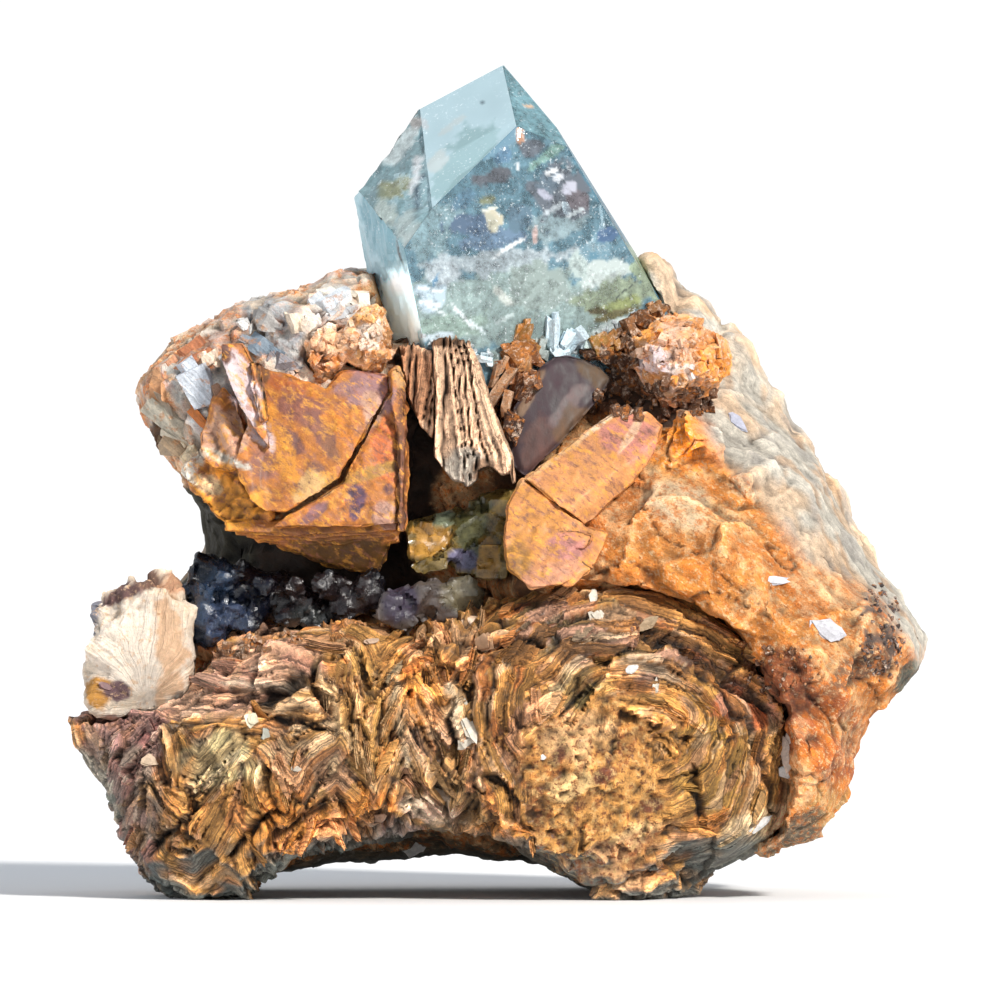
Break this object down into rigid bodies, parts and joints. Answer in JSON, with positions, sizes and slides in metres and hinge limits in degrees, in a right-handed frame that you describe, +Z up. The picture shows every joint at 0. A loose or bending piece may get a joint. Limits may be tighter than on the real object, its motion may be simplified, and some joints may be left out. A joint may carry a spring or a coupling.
{
  "type": "blue topaz crystal on matrix",
  "caption": "Natural blue topaz crystal standing in a saddle of rusty foliated mica, cream feldspar and smoky quartz; a collector's mineral specimen that rests on its own base.",
  "frame": {"origin": "on the surface it rests on, under the middle of its bounding box", "axes": "+Z up, towards the crystal's tip; the crystal's broad face looks along -Y; +X is to the right of that face"},
  "size_m": [0.0846, 0.0498, 0.0829],
  "materials": {
    "topaz": "clear pale blue, glassy, with cloudy veils",
    "stained_feldspar": "dull, cream with orange iron stains",
    "rusty_feldspar": "dull, rusty orange",
    "cream_feldspar": "dull, creamy white, bladed",
    "brown_mica": "satin, golden brown, foliated",
    "rusty_mica": "satin, rusty orange leaves",
    "tan_mica": "satin, tan leaves",
    "purple_mica": "glossy, dark purple leaf",
    "olive_mica": "glassy, olive to gold",
    "smoky_quartz": "glassy, blue-grey to black",
    "grey_quartz": "glassy, grey"
  },
  "bodies": {
    "root": {"topaz_crystal": "topaz", "feldspar_matrix": "stained_feldspar", "feldspar_knobs_left": "rusty_feldspar", "feldspar_knob_right": "rusty_feldspar", "feldspar_fan": "cream_feldspar", "mica_mass": "brown_mica", "mica_book_large": "rusty_mica", "mica_book_ridged": "tan_mica", "mica_disc_purple": "purple_mica", "mica_book_tan": "tan_mica", "mica_leaves_olive": "olive_mica", "quartz_smoky": "smoky_quartz", "quartz_grey": "grey_quartz"}
  },
  "joints": []
}
